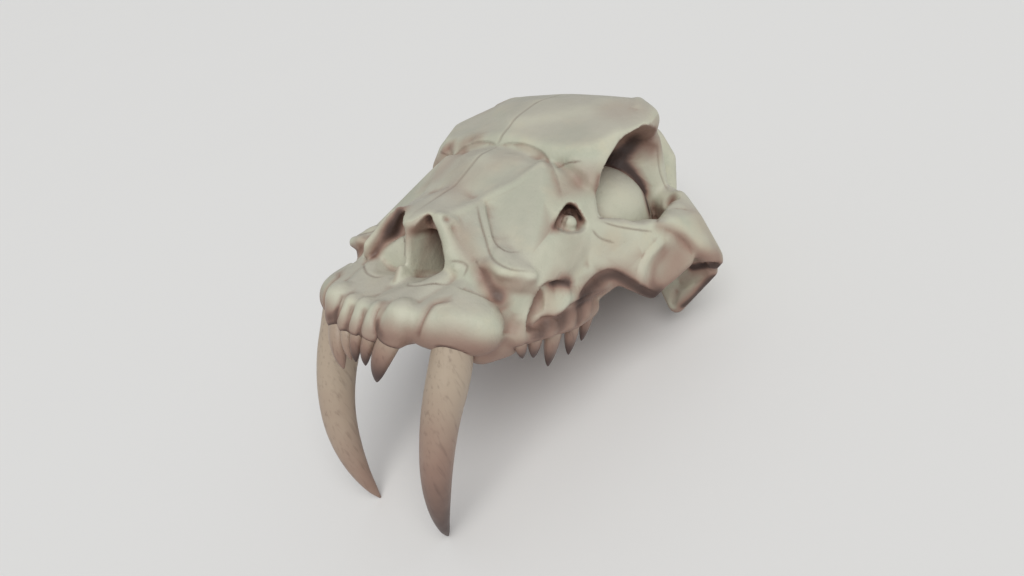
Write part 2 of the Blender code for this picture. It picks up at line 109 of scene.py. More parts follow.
# %% Lumps
BONE_MASSES = {
    "premaxilla": [
        (0, 17, 6, 7), (12, 18, 6, 7.5), (25.5, 20.5, 7, 10), (0, 21, 10, 10),
        (13, 21, 10, 10), (27, 23, 11, 11), (0, 50, 21, 9), (20, 53, 24, 9),
        (33, 56, 32, 9), (0, 84, 12, 10), (42, 80, 12, 12)],
    "centre_root": [(0, 14, 4.8, 7.2), (0, 20, 16, 8)],
    "second_root": [(12, 14.6, 4.8, 7.4), (13, 20, 16, 8)],
    "third_root": [(26.5, 19, 5.8, 10), (30, 24, 16, 12)],
    "canine_bulge": [
        (42, 34, 12, 14.5), (64, 52, 11, 16.5), (58, 66, 13, 18.5),
        (48, 62, 26, 14), (54.5, 42.5, 11, 17)],
    "behind_canine": [
        (58, 62, -0.5, 14.5), (62, 76, 1.5, 14.5), (46, 66, 0, 12)],
    "cheek_lip": [
        (60, 66, 46, 5), (70, 66, 44.5, 4.5), (80, 80, 42, 5),
        (60, 76, 52, 6)],
    "cheek_front": [
        (31, 62, 42, 6), (31, 61, 52, 5), (18, 69, 66, 7), (25, 92, 74, 8),
        (60, 70, 40, 8), (73, 77, 38.5, 8), (50, 66, 30, 12), (40, 96, 30, 10),
        (74, 96, 32, 9)],
    "cheek_back": [
        (25, 98, 76, 8), (33, 118, 84, 8), (44, 134, 100, 9),
        (73, 78, 38.5, 8), (79, 98, 33, 8), (67, 117, 61, 9),
        (70, 147, 87, 7.5), (76, 144, 66, 9), (76, 142, 24, 9),
        (40, 120, 40, 10), (50, 140, 60, 10)],
    "nasal_front": [
        (0, 53, 66, 3), (0, 60, 69, 5), (13, 65, 72, 5.5), (19, 63, 67.5, 4.5),
        (0, 98, 83, 8), (25, 94, 76, 7), (20, 72, 66, 6)],
    "nasal_back": [
        (0, 98, 83, 8), (26, 98, 79, 7), (0, 122, 104, 8), (0, 136, 108, 9),
        (46, 136, 100, 8), (0, 140, 84, 12)],
    "nostril_rim": [
        (18, 62.5, 72, 4), (24, 62, 66, 4.2), (30, 61.5, 56, 4.2),
        (33, 62, 47, 4.2), (32, 62, 41, 4), (36, 74, 50, 5), (26, 76, 66, 5)],
    "nasal_spine": [(0, 44, 28, 4), (0, 46.5, 39, 2.5), (0, 56, 30, 4)],
    "septum": [
        (0, 52.5, 44, 2.3), (0, 52.5, 62, 2.3), (0, 58, 32, 2.6),
        (0, 104, 38, 2.6), (0, 104, 78, 2.6)],
    "snout_core": [
        (0, 108, 34, 10), (0, 108, 76, 8), (40, 104, 40, 12), (0, 150, 40, 12),
        (40, 146, 72, 12), (0, 146, 92, 10), (34, 74, 36, 8), (34, 92, 60, 8)],
    "tooth_row": [
        (76, 74, 6.5, 9), (77, 90, 7.5, 9), (78, 108, 8, 9.5),
        (79, 126, 8.5, 9.5), (79, 144, 13, 9.5), (60, 100, 13, 10),
        (66, 150, 20, 10), (72, 110, 24, 9)],
    "cheek_fill": [
        (64, 70, 24, 10), (72, 82, 20, 8), (72, 84, 34, 8), (62, 66, 36, 8)],
    "root_edge": [
        (82, 92, 18, 4), (86, 108, 19, 4), (88, 126, 22, 4), (88, 150, 28, 4),
        (80, 96, 32, 6), (80, 140, 40, 8)],
    "palate": [
        (0, 50, 15, 7), (46, 60, 14, 8), (66, 100, 17, 7), (66, 148, 20, 7),
        (0, 156, 24, 8), (30, 168, 24, 8)],
    "nasal_floor": [
        (0, 60, 22, 8), (34, 70, 22, 10), (50, 130, 26, 10), (0, 150, 28, 10)],
    "crown": [
        (0, 158, 128, 10.5), (0, 184, 138.5, 13), (0, 215, 145, 13.5),
        (0, 262, 146, 14), (40, 190, 137.5, 12), (44, 215, 143.5, 13),
        (34, 250, 144, 13.5), (62, 230, 140, 12)],
    "forehead": [
        (0, 148, 118, 11), (0, 168, 131, 10), (0, 204, 143, 12),
        (0, 262, 148, 11), (40, 204, 143, 12), (30, 252, 147, 11),
        (58, 226, 144, 12), (68, 222, 140, 11), (46, 150, 112, 10),
        (64, 156, 114, 9), (74, 175, 125, 8), (79, 194, 129, 7),
        (72, 216, 133, 9), (56, 244, 137, 10)],
    "brow": [
        (60, 150, 108, 9), (71, 150, 96, 8), (72, 158, 110, 8),
        (73, 174, 124, 8), (60, 168, 122, 10)],
    "braincase": [
        (38, 220, 60, 38), (0, 215, 66, 40), (0, 262, 84, 42),
        (26, 262, 80, 34)],
    "temple": [
        (34, 238, 100, 34), (0, 232, 112, 34), (24, 266, 92, 34),
        (0, 270, 106, 34), (64, 238, 124, 9), (66, 244, 84, 14),
        (48, 238, 136, 11)],
    "orbit_wall": [
        (0, 140, 92, 14), (20, 150, 90, 14), (0, 200, 100, 24),
        (26, 196, 84, 20), (0, 150, 50, 14), (22, 160, 48, 12)],
    "sagittal_crest": [
        (0, 236, 148, 8), (0, 276, 152, 5), (0, 304, 148, 4),
        (0, 296, 110, 14)],
    "nuchal_crest": [
        (0, 304, 146, 5), (34, 300, 132, 5), (55, 293, 112, 4),
        (60, 288, 86, 5), (0, 290, 100, 20), (34, 280, 90, 14)],
    "occiput": [
        (0, 298, 96, 16), (36, 292, 80, 14), (0, 300, 46, 18),
        (44, 286, 50, 14), (54, 278, 40, 10)],
    "condyle": [(20, 308, 32, 11), (14, 300, 26, 11), (24, 300, 44, 10)],
    "mastoid": [
        (60, 282, 8.4, 8), (56, 280, 50, 12), (70, 272, 46, 9),
        (48, 282, 20, 8)],
    "skull_base": [
        (0, 190, 40, 14), (16, 196, 40, 10), (0, 296, 34, 12),
        (28, 280, 36, 14), (30, 240, 44, 14)],
    "bulla": [(38, 256, 26, 13), (32, 268, 24, 11)],
    "pterygoid": [
        (30, 168, 24, 5), (26, 210, 28, 4), (27, 204, 8, 3), (29, 176, 18, 4)],
    "jugal": [
        (79, 142, 67, 7), (82, 140, 46, 8), (95, 170, 64, 6),
        (101, 172, 30, 7), (100, 190, 66, 6), (107, 182, 24, 7),
        (112, 200, 38, 7)],
    "maxilla_rear": [
        (72, 146, 17, 9), (74, 168, 28, 8), (80, 148, 44, 8), (88, 168, 44, 7),
        (98, 170, 42, 6), (60, 160, 26, 8)],
    "jugal_rear": [
        (100, 184, 66, 6), (107, 184, 26, 7), (110, 204, 66, 6),
        (116, 210, 44, 7)],
    "arch_rear": [
        (106, 200, 68, 8), (110, 222, 70, 8), (124, 222, 50, 7),
        (127.3, 234, 42, 7), (96, 236, 82, 5.5)],
    "arch_root": [
        (95, 238, 82, 6), (112, 226, 69, 7.5), (72, 246, 84, 10),
        (74, 256, 66, 10), (100, 244, 62, 8), (126, 236, 44, 7)],
    "arch_knob": [
        (96, 234, 86, 4.2), (88, 238, 85, 4.5), (96, 238, 78, 6),
        (106, 226, 75, 6)],
    "glenoid": [
        (126, 236, 42, 7), (92, 240, 44, 8), (70, 250, 50, 12),
        (100, 250, 54, 8), (70, 264, 50, 10)],
    "ear_floor": [(62, 268, 36, 8), (72, 258, 40, 7), (58, 262, 46, 10)],
    "postglenoid": [
        (124, 240, 33, 5), (95, 247, 0, 6.5), (84, 250, 40, 8),
        (96, 254, 34, 6), (84, 248, 14, 6)],
}
print("lumps", len(BONE_MASSES))

# %% [markdown]
# ## The hollows
# The nostrils, the eye sockets, the holes in the brow and the hole for the
# spinal cord are real hollows. The same hulls make them, and are cut out of
# the bone. What stands inside a hollow, like the bulge on the floor of the eye
# socket or the flared rim of the right nostril, is added after the cut.

# %% Hollows and what stands in them
BONE_HOLLOWS = {
    "nostril": [
        (5.8, 22, 37, 3), (5.8, 22, 57, 3), (12, 24, 72, 3), (19.5, 24, 66, 3),
        (26, 22, 57, 3), (29.5, 22, 47.5, 3), (31, 22, 41, 3), (26, 22, 37, 3),
        (12, 22, 34, 3), (5.8, 61, 36, 3), (5.8, 62, 58, 3), (11.5, 66, 70, 3),
        (17, 62, 63, 3), (22.5, 60, 54, 3), (26.5, 58.5, 46, 3),
        (25.5, 58.5, 41, 3), (18, 59, 36, 3)],
    "right_nostril": [
        (-20, 20, 58, 3), (-28, 20, 53, 3), (-35, 22, 45, 3), (-32, 22, 39, 3),
        (-20, 20, 38, 3), (-28, 56, 51, 3), (-30, 55, 44, 3), (-20, 62, 46, 3),
        (-20, 56, 58, 3)],
    "airway": [
        (14, 130, 36, 7), (8, 160, 36, 6), (16, 160, 38, 8), (10, 196, 20, 8)],
    "orbit": [
        (98, 176, 96, 26), (62, 176, 94, 22), (100, 192, 108, 14),
        (90, 204, 110, 14), (60, 196, 110, 8), (84, 178, 122, 7),
        (84, 198, 129, 7), (80, 216, 127, 7), (74, 230, 118, 7),
        (58, 205, 118, 9)],
    "brow_foramen": [
        (82, 98.5, 71.3, 1.5), (82, 117.5, 84, 1.5), (80, 124, 83.5, 1.5),
        (82, 133.5, 69.5, 1.5), (83, 128, 66.5, 1.5), (84, 112, 66.5, 1.5),
        (83, 101, 68.8, 1.5), (66, 133, 80, 2), (65, 138, 76, 2),
        (70, 119, 70, 2), (72, 133, 68, 2), (75, 122, 66.5, 1.5)],
    "brain_opening": [(0, 322, 46, 11), (0, 272, 50, 11)],
    "nape_hollow": [(27, 327, 102, 22), (22, 326, 84, 18)],
    "palate_vault": [
        (0, 60, -2, 8), (30, 72, -6, 10), (54, 104, -4, 10), (54, 146, -2, 12),
        (0, 160, 0, 12)],
}
INNER_MASSES = {
    "orbit_floor": [(45, 197, 62.6, 43.2), (38, 214, 60, 42)],
    "orbit_column": [
        (60, 248, 112, 8), (61, 253, 90, 8), (65, 254, 74, 9),
        (68, 250, 58, 9)],
    "foramen_knob": [(72, 128, 70, 5.5), (66, 130, 68, 7)],
    "right_wing": [
        (-41, 53, 41, 3.5), (-40, 52, 48, 3), (-34, 57, 57.5, 3),
        (-42, 64, 46, 5)],
    "right_wing_top": [
        (-34, 57, 57.5, 3), (-26, 60, 67.5, 3), (-24, 62.5, 71.5, 3),
        (-20, 66, 72, 3.5), (-38, 66, 58, 5)],
    "right_floor": [
        (-5, 63, 34, 5), (-5, 64, 57, 4), (-18, 62, 36, 5), (-16, 63, 52, 4),
        (-30, 59, 37, 4), (-30, 59, 42, 4)],
    "right_lip": [
        (-60, 62, 46, 5), (-70, 64, 44.5, 4.5), (-62, 61, 41, 4),
        (-60, 72, 46, 6)],
    "spine": [(0, 44, 29, 3.4), (0, 46.5, 38, 2.2), (0, 58, 34, 3)],
}
print("hollows", len(BONE_HOLLOWS), "inner masses", len(INNER_MASSES))

# %% [markdown]
# ## Hulls over balls
# Blender can wrap a tight skin around any points. A few balls give it points
# with a rounded edge, so a lump never has a hard corner. A big ball gets finer
# faces, because its facets would show in the dome of the eye socket.

# %% Stretch the hulls
BIG_BALL = 25


def scratch_object(name, bm):
    mesh = bpy.data.meshes.new(name)
    bm.to_mesh(mesh)
    bm.free()
    item = bpy.data.objects.new(name, mesh)
    bpy.context.scene.collection.objects.link(item)
    return item


def stretch_hull(target, balls):
    """Add to a bmesh the hull over the balls, and its mirror image.

    Balls on the right side, with x below zero, give one hull only.
    """
    hull = bmesh.new()
    for x, y, z, radius in balls:
        fineness = 3 if radius < BIG_BALL else 5
        bmesh.ops.create_icosphere(hull, subdivisions=fineness, radius=radius,
                                   matrix=Matrix.Translation((x, y, z)))
    found = bmesh.ops.convex_hull(hull, input=hull.verts)
    inside = [part for part in found["geom_interior"]
              if isinstance(part, bmesh.types.BMVert)]
    bmesh.ops.delete(hull, geom=inside, context="VERTS")
    loose = [vert for vert in hull.verts if not vert.link_faces]
    bmesh.ops.delete(hull, geom=loose, context="VERTS")
    bmesh.ops.recalc_face_normals(hull, faces=hull.faces)
    mesh = bpy.data.meshes.new("lump")
    hull.to_mesh(mesh)
    target.from_mesh(mesh)
    if balls[0][0] >= 0:
        bmesh.ops.scale(hull, vec=(-1, 1, 1), verts=hull.verts)
        bmesh.ops.reverse_faces(hull, faces=hull.faces)
        hull.to_mesh(mesh)
        target.from_mesh(mesh)
    hull.free()
    bpy.data.meshes.remove(mesh)


def lumps(name, masses):
    bm = bmesh.new()
    for balls in masses.values():
        stretch_hull(bm, balls)
    return scratch_object(name, bm)


bone = lumps("cranium_bone", BONE_MASSES)
print("hulls", len(bone.data.polygons), "faces")

# %% [markdown]
# ## One skin
# The hulls overlap like soap bubbles. The voxel remesher throws away what is
# inside and lays one even skin around them, and a little smoothing melts the
# seams, as a thumb does on clay. Then a Boolean takes out the hollows. The
# wide roof of the skull is the smoothest part, so it is smoothed much more.

# %% Melt the lumps and cut the hollows
ROUGH_VOXEL, FINE_VOXEL = 1.5, 1.15
ROOF_BACK, ROOF_HEIGHT, ROOF_SLOPE, ROOF_HALF_WIDTH = 150, 112, 0.12, 66
ROOF_FADE_UP, ROOF_FADE_OUT = 14, 12


def apply_modifiers(item):
    depsgraph = bpy.context.evaluated_depsgraph_get()
    mesh = bpy.data.meshes.new_from_object(item.evaluated_get(depsgraph))
    old = item.data
    item.modifiers.clear()
    item.data = mesh
    bpy.data.meshes.remove(old)


def modify(item, kind, **settings):
    modifier = item.modifiers.new(kind, kind)
    for key, value in settings.items():
        setattr(modifier, key, value)
    apply_modifiers(item)


def add_copy(item, other):
    bm = bmesh.new()
    bm.from_mesh(item.data)
    bm.from_mesh(other.data)
    bm.to_mesh(item.data)
    bm.free()


def keep_largest(item):
    """Drop the crumbs and closed bubbles that a cut leaves."""
    bm = bmesh.new()
    bm.from_mesh(item.data)
    left, bodies = set(bm.verts), []
    while left:
        stack = [left.pop()]
        body = set(stack)
        while stack:
            for edge in stack.pop().link_edges:
                for vert in edge.verts:
                    if vert in left:
                        left.discard(vert)
                        body.add(vert)
                        stack.append(vert)
        bodies.append(body)
    bodies.sort(key=len, reverse=True)
    crumbs = [vert for body in bodies[1:] for vert in body]
    bmesh.ops.delete(bm, geom=crumbs, context="VERTS")
    bm.to_mesh(item.data)
    bm.free()


def ease_roof(item):
    """Smooth the roof of the skull much more than the rest."""
    group = item.vertex_groups.new(name="roof")
    for vert in item.data.vertices:
        x, y, z = vert.co
        above = z - ROOF_SLOPE * (y - ROOF_BACK) - ROOF_HEIGHT
        high = min(max(above / ROOF_FADE_UP, 0), 1)
        inner = min(max((ROOF_HALF_WIDTH - abs(x)) / ROOF_FADE_OUT, 0), 1)
        if high * inner > 0:
            group.add([vert.index], high * inner, "REPLACE")
    modify(item, "SMOOTH", iterations=160, factor=0.5, vertex_group="roof")


def melt_and_cut(bone):
    modify(bone, "REMESH", mode="VOXEL", voxel_size=ROUGH_VOXEL)
    modify(bone, "SMOOTH", iterations=5, factor=0.5)
    hollows = lumps("hollows", BONE_HOLLOWS)
    modify(hollows, "REMESH", mode="VOXEL", voxel_size=ROUGH_VOXEL)
    modify(bone, "BOOLEAN", operation="DIFFERENCE", solver="MANIFOLD",
           object=hollows)
    inner = lumps("inner", INNER_MASSES)
    add_copy(bone, inner)
    modify(bone, "REMESH", mode="VOXEL", voxel_size=FINE_VOXEL)
    keep_largest(bone)
    modify(bone, "SMOOTH", iterations=9, factor=0.5)
    ease_roof(bone)
    for item in (hollows, inner):
        bpy.data.objects.remove(item)


melt_and_cut(bone)
print("one skin", len(bone.data.vertices), round(time.time() - started, 1))

# %% [markdown]
# ## Marks laid on
# A sculptor works from a picture: a groove is drawn where it is seen. The
# helper below takes places of the photograph, sends a ray from the camera
# through each, and keeps the point of the bone that it meets. The line then
# lies on the bone, and its mirror image serves the skull's right side. What
# the photograph doesn't show is laid on from places in the skull's frame.

# %% Lay a drawn line on the bone
LONGEST_JUMP, ENOUGH = 14, 3


def mesh_arrays(item):
    mesh = item.data
    points = np.empty(len(mesh.vertices) * 3)
    mesh.vertices.foreach_get("co", points)
    normals = np.empty(len(mesh.vertices) * 3)
    mesh.vertices.foreach_get("normal", normals)
    return points.reshape(-1, 3), normals.reshape(-1, 3)


def surface_tree(item):
    mesh = item.data
    points, _ = mesh_arrays(item)
    faces = [tuple(face.vertices) for face in mesh.polygons]
    return BVHTree.FromPolygons([Vector(p) for p in points], faces)


def smooth_line(places, step):
    """Points at even steps on a curve through the places."""
    given = np.array(places, float)
    if len(given) == 1:
        return given
    spans = np.linalg.norm(np.diff(given, axis=0), axis=1)
    reach = np.concatenate([[0.0], np.cumsum(spans)])
    slopes = np.gradient(given, reach, axis=0)
    count = max(2, int(reach[-1] / step) + 1)
    result = []
    for at in np.linspace(0.0, reach[-1], count):
        index = min(int(np.searchsorted(reach, at, side="right")) - 1,
                    len(spans) - 1)
        span = spans[index]
        share = (at - reach[index]) / span
        square, cube = share ** 2, share ** 3
        result.append((2 * cube - 3 * square + 1) * given[index]
                      + (cube - 2 * square + share) * span * slopes[index]
                      + (3 * square - 2 * cube) * given[index + 1]
                      + (cube - square) * span * slopes[index + 1])
    return np.array(result)


def seen_line(tree, places):
    """Points and normals of the bone under places of the photograph.

    A ray that slips past an edge lands far behind it. There the line ends,
    or begins again if only a few of its points were found.
    """
    points, normals = [], []
    for across, down in smooth_line(places, 1.0):
        ray = (AHEAD + RIGHT * ((across - FRAME_WIDE / 2) / REACH)
               + DOWN * ((down - FRAME_HIGH / 2) / REACH)).normalized()
        spot, normal, _, _ = tree.ray_cast(EYE, ray)
        if spot is None:
            continue
        if points and (spot - points[-1]).length > LONGEST_JUMP:
            if len(points) > ENOUGH:
                break
            points, normals = [], []
        points.append(spot)
        normals.append(normal)
    return points, normals


def laid_line(tree, places):
    """Points and normals of the bone nearest to places in the skull."""
    points, normals = [], []
    for place in smooth_line(places, 1.5):
        spot, normal, _, _ = tree.find_nearest(Vector(place))
        points.append(spot)
        normals.append(normal)
    return points, normals


bone_tree = surface_tree(bone)
print("brow", seen_line(bone_tree, [(500, 175)])[0])

# %% [markdown]
# ## Strokes
# A stroke moves the bone in or out along a line. A crease is deep at its line
# and sharp, a dish and a swell are round, and a step cuts in on one side of
# its line only, the side to the right of the way it is drawn. Each is its
# half width and its depth in millimetres, and its places; a depth above zero
# is cut in. A stroke is drawn on the skull's left and mirrored to its right,
# unless it lies on the midline or only one side has it.

# %% Strokes as numbers
PROFILES = {
    "crease": lambda t: (1 - t) ** 2,
    "round": lambda t: (1 - t * t) ** 2,
    "step": lambda t: (1 - t * t) ** 2,
    # The last profile is for painted shade strokes, which move nothing.
    "stain": lambda t: (1 - t * t) ** 3,
}
TAPERED = ("crease", "step")
TAPER, THIN_END = 0.16, 0.12
STEP_EDGE = 0.8
BATCH = 4000
FLIP = np.array([-1.0, 1.0, 1.0])


def seen(kind, width, depth, *places, mirrored=True):
    """A stroke through places of the photograph."""
    return seen_line, kind, width, depth, places, mirrored


def laid(kind, width, depth, *places, mirrored=True):
    """A stroke through places in the skull's frame."""
    return laid_line, kind, width, depth, places, mirrored


def stroke_effect(points, normals, line, facing, side, kind, width, depth):
    """How far each point moves in, and which points the stroke reaches."""
    low, high = line.min(0) - width, line.max(0) + width
    near = np.nonzero(((points > low) & (points < high)).all(1))[0]
    if len(near) == 0:
        return near, np.zeros(0)
    gaps = np.empty(len(near))
    which = np.empty(len(near), int)
    for start in range(0, len(near), BATCH):
        part = points[near[start:start + BATCH]]
        apart = ((part[:, None, :] - line[None, :, :]) ** 2).sum(2)
        which[start:start + BATCH] = apart.argmin(1)
        gaps[start:start + BATCH] = np.sqrt(apart.min(1))
    alike = (normals[near] * facing[which]).sum(1) > 0.0
    keep = (gaps < width) & alike
    near, gaps, which = near[keep], gaps[keep], which[keep]
    effect = depth * PROFILES[kind](gaps / width)
    if kind == "step":
        across = ((points[near] - line[which]) * side[which]).sum(1)
        effect *= np.clip(across / STEP_EDGE + 0.5, 0, 1)
    if kind in TAPERED and len(line) > 2:
        along = which / (len(line) - 1)
        effect *= np.clip(np.minimum(along, 1 - along) / TAPER, THIN_END, 1)
    return near, effect


def densify(line, facing, step=0.5):
    if len(line) < 2:
        return line, facing
    spans = np.linalg.norm(np.diff(line, axis=0), axis=1)
    reach = np.concatenate([[0.0], np.cumsum(spans)])
    at = np.linspace(0, reach[-1], max(2, int(reach[-1] / step) + 1))
    more = np.stack([np.interp(at, reach, line[:, k]) for k in range(3)], 1)
    face = np.stack([np.interp(at, reach, facing[:, k]) for k in range(3)], 1)
    return more, face / np.linalg.norm(face, axis=1, keepdims=True)


def soften(line, rounds=6):
    """Even out the small jumps of a line that was cast onto the bone."""
    if len(line) < 5:
        return line
    for _ in range(rounds):
        inner = (line[:-2] + 2 * line[1:-1] + line[2:]) / 4
        line = np.concatenate([line[:1], inner, line[-1:]])
    return line


def find_strokes(tree, strokes):
    """Each stroke's line on the bone, and its mirror image if it has one."""
    found = []
    for cast, kind, width, depth, places, mirrored in strokes:
        points, normals = cast(tree, places)
        if not points:
            print("no bone under", kind, places[0])
            continue
        line = soften(np.array([list(p) for p in points]))
        facing = soften(np.array([list(n) for n in normals]))
        line, facing = densify(line, facing)
        side = (np.cross(np.gradient(line, axis=0), facing)
                if len(line) > 1 else facing)
        side /= np.linalg.norm(side, axis=1, keepdims=True)
        found.append((line, facing, side, kind, width, depth))
        if mirrored:
            found.append((line * FLIP, facing * FLIP, side * FLIP, kind,
                          width, depth))
    return found


def carve(item, found):
    points, normals = mesh_arrays(item)
    push = np.zeros(len(points))
    for stroke in found:
        near, effect = stroke_effect(points, normals, *stroke)
        push[near] += effect
    points -= normals * push[:, None]
    item.data.vertices.foreach_set("co", points.ravel())
    item.data.update()


print("profiles", *PROFILES)

# %% [markdown]
# ## The forms of the face
# First come the soft forms: the dished tops of the nasal bones, the planes of
# the cheek, the swellings over the roots of the teeth. They are broad and
# round, so that light rolls over them.

# %% Soft forms
SOFT = [
    seen("round", 12, 1.1, (446, 206), (470, 194), (500, 175), (530, 160)),
    seen("round", 5, -0.6, (441.6, 214.3), (476.4, 201), (493, 191),
         (513, 182.8), (542.7, 159.6)),
    seen("step", 13, 0.9, (488, 149), (500, 144.5), (513, 143), (526, 144.7),
         (542.7, 153), (552.7, 168), (558, 182), (562, 198)),
    seen("round", 4, -0.7, (454, 220), (468, 248), (485, 271)),
    seen("round", 5, 1.4, (455, 228), (466, 246), (474, 258)),
    seen("round", 4, -0.4, (481, 204), (489, 236), (500, 255)),
    seen("step", 16, 0.8, (497, 246), (490, 225), (485, 202)),
    seen("round", 8, 2.0, (484, 276), (496, 292)),
    seen("step", 14, 1.3, (496, 303), (478, 294), (457, 287)),
    seen("step", 14, 2.2, (502, 338), (505, 322), (497, 304)),
    seen("round", 2.4, -0.6, (450, 303.5), (437, 307), (430, 316), (424, 329),
         (421, 338)),
    seen("round", 4, 1.0, (446.4, 219)),
    seen("round", 4, -1.1, (456, 268)),
    seen("round", 9, 1.4, (580, 181)),
    seen("round", 7, 1.4, (470, 139), mirrored=False),
    seen("round", 5, 1.6, (447, 148), mirrored=False),
    seen("round", 14, 2.6, (680, 250), (668, 264), (661, 280)),
    seen("round", 5, -1.5, (661, 243), (649, 256), (643, 268), (640, 284)),
    seen("step", 20, 5.0, (527, 336), (527, 322), (532, 306), (539, 291),
         (546, 283.5), (557, 280), (569, 283)),
    seen("round", 4, -1.3, (567, 287), (569, 297), (564, 307), (554, 314)),
    seen("step", 12, 3.4, (577, 300), (583, 290), (590.4, 280), (600, 273),
         (611.5, 269.6), (630, 278), (650.5, 290), (662, 294)),
    seen("step", 12, 2.6, (533, 326), (541, 320), (557, 315), (571, 305.5),
         (585.7, 297), (604, 288)),
    seen("round", 7, -2.2, (552, 332), (554, 323)),
    seen("round", 6, -2.0, (571, 325), (573, 313)),
    seen("round", 6, -2.0, (587, 314), (589, 303)),
    seen("step", 9, 1.0, (659, 225), (668, 228.5), (678.6, 235), (690, 246),
         (694, 254), (692, 262)),
    seen("step", 7, 3.6, (692, 264), (702, 262.5), (713, 262.5), (723, 264)),
    seen("round", 7, 2.0, (680, 282), (692, 278), (702, 277)),
    seen("round", 5, 1.4, (672, 303), (676, 292)),
    seen("round", 6, 2.0, (668, 203), (674, 199)),
    seen("step", 7, 1.6, (690, 210.5), (678.6, 208.5), (668, 209.5),
         (661, 213), (656.5, 221)),
]
print("soft forms", len(SOFT))

# %% [markdown]
# ## Creases
# Creases are the sharp marks: the sutures where bones have grown together, the
# grooves between tooth roots, and the rims of the openings. They are narrow,
# so they come last and nothing smooths them away.

# %% Sharp marks
CREASES = [
    laid("crease", 2.0, 0.8, (0, 54, 70), (0, 66, 82), (0, 96, 92),
         (0, 120, 112), (0, 132, 120), (0, 141, 131), (0, 162, 143),
         (0, 198, 156), (0, 230, 161), mirrored=False),
    seen("crease", 1.7, 0.5, (490, 148), (500, 144.5), (513, 143),
         (526, 144.7), (542.7, 153), (552.7, 168), (558, 182), (562, 198)),
    seen("crease", 1.6, 0.6, (476.8, 203.5), (480, 220), (485, 237),
         (493.6, 259.6), (507.7, 268), (533, 272)),
    seen("crease", 1.8, 0.35, (485, 200), (490, 224), (497, 245), (506, 251),
         (522, 252)),
    seen("crease", 2.2, 1.5, (447, 300.5), (433, 304), (426, 314),
         (420, 327.6), (417, 340)),
    seen("crease", 1.5, 0.5, (456.7, 286.5), (478, 294), (496.3, 302.7)),
    seen("crease", 2.4, 1.6, (382.5, 303), (376, 312.8), (373.3, 323),
         (377.5, 341)),
    seen("crease", 2.2, 1.5, (363.5, 309), (361.4, 317.7), (358.6, 328),
         (359.5, 340)),
    seen("crease", 1.4, 0.4, (556, 168), (568, 163), (582.5, 161)),
    seen("crease", 1.6, 0.5, (591.6, 228.6), (598.6, 237), (615.4, 243)),
    seen("crease", 1.1, 0.4, (598, 218), (627, 217.5), (656, 220)),
    seen("crease", 1.1, 0.4, (600, 221), (616, 226), (632, 229), (655, 232)),
    seen("crease", 2.2, 1.2, (656, 216), (657, 224), (668, 228), (678.6, 234),
         (691, 247), (694, 254), (690, 266)),
    seen("crease", 1.5, 0.8, (657, 222), (661, 213), (668, 209.5),
         (678.6, 208.5), (692, 211)),
    seen("crease", 1.6, 0.6, (449, 262), (458, 261), (467, 266), (463, 277)),
    seen("crease", 2.2, 1.2, (563, 312), (561, 330)),
    seen("crease", 2.2, 1.2, (580, 302), (578, 326)),
    seen("crease", 2.2, 1.2, (545, 319), (541, 336)),
    seen("crease", 1.5, 0.7, (533, 326), (541, 320), (557, 315), (571, 305.5),
         (585.7, 297), (604, 288)),
    seen("crease", 1.5, 0.7, (363, 263), (366, 272), (375, 277), (385, 276)),
    seen("crease", 1.6, 0.8, (657, 142), (658, 157), (661, 175), (668, 191)),
    seen("crease", 1.3, 1.0, (566, 207), (557, 219), (554, 229)),
    seen("crease", 1.3, 1.0, (569, 209), (561, 221), (558, 231)),
    seen("crease", 1.3, 0.8, (571, 212), (565, 222), (563, 232)),
    seen("crease", 1.5, 0.6, (474, 257), (480, 268), (487, 281), (497, 300)),
    seen("crease", 1.6, 0.6, (577, 299), (583, 289), (590.4, 280), (600, 273),
         (611.5, 269.6), (630, 278), (650.5, 290)),
    seen("crease", 0.9, 0.4, (404, 233), (405.3, 246), (404.8, 259),
         mirrored=False),
    seen("crease", 1.4, 0.9, (351.6, 306), (348, 317.7), (346, 331)),
    seen("crease", 1.4, 0.9, (342.5, 295), (339, 305), (335.8, 314),
         (337.5, 327), mirrored=False),
    laid("crease", 1.8, 0.9, (0, 40, 6), (0, 80, 4), (0, 120, 6), (0, 158, 10),
         mirrored=False),
    laid("crease", 1.8, 0.7, (2, 112, 6), (20, 108, 6), (40, 118, 8),
         (58, 140, 10)),
    laid("round", 4.5, 3.0, (8, 36, 4), (9, 44, 4)),
    laid("round", 3, 2.4, (34, 116, 6)),
    laid("round", 3, 2.4, (40, 124, 6)),
    laid("crease", 2.2, 1.0, (0, 316, 74), (0, 316, 100), (0, 312, 128),
         mirrored=False),
    laid("crease", 2.2, 0.9, (8, 316, 118), (26, 312, 108), (44, 304, 92),
         (54, 292, 70)),
    laid("crease", 2.0, 0.9, (44, 300, 40), (50, 296, 56), (60, 290, 70)),
    laid("crease", 1.8, 0.8, (70, 272, 60), (62, 262, 78), (50, 254, 96),
         (40, 244, 112), (40, 228, 122)),
    laid("round", 4, 2.0, (66, 262, 36)),
    laid("crease", 1.8, 0.9, (14, 240, 22), (22, 258, 20), (24, 276, 18)),
    laid("round", 3.5, 2.4, (24, 284, 24)),
    laid("round", 6, -1.2, (66, 212, 146), (50, 240, 154), (26, 268, 160),
         (4, 290, 160)),
]
print("sharp marks", len(CREASES))

# %% [markdown]
# ## Carving
# All lines are laid on the smooth bone first, and only then does the bone
# move, so no line follows the groove of another. The soft forms go in before
# the sharp marks.

# %% Carve the bone
soft_lines = find_strokes(bone_tree, SOFT)
sharp_lines = find_strokes(bone_tree, CREASES)
carve(bone, soft_lines)
carve(bone, sharp_lines)
print("carved", len(soft_lines), "soft and", len(sharp_lines), "sharp",
      round(time.time() - started, 1))
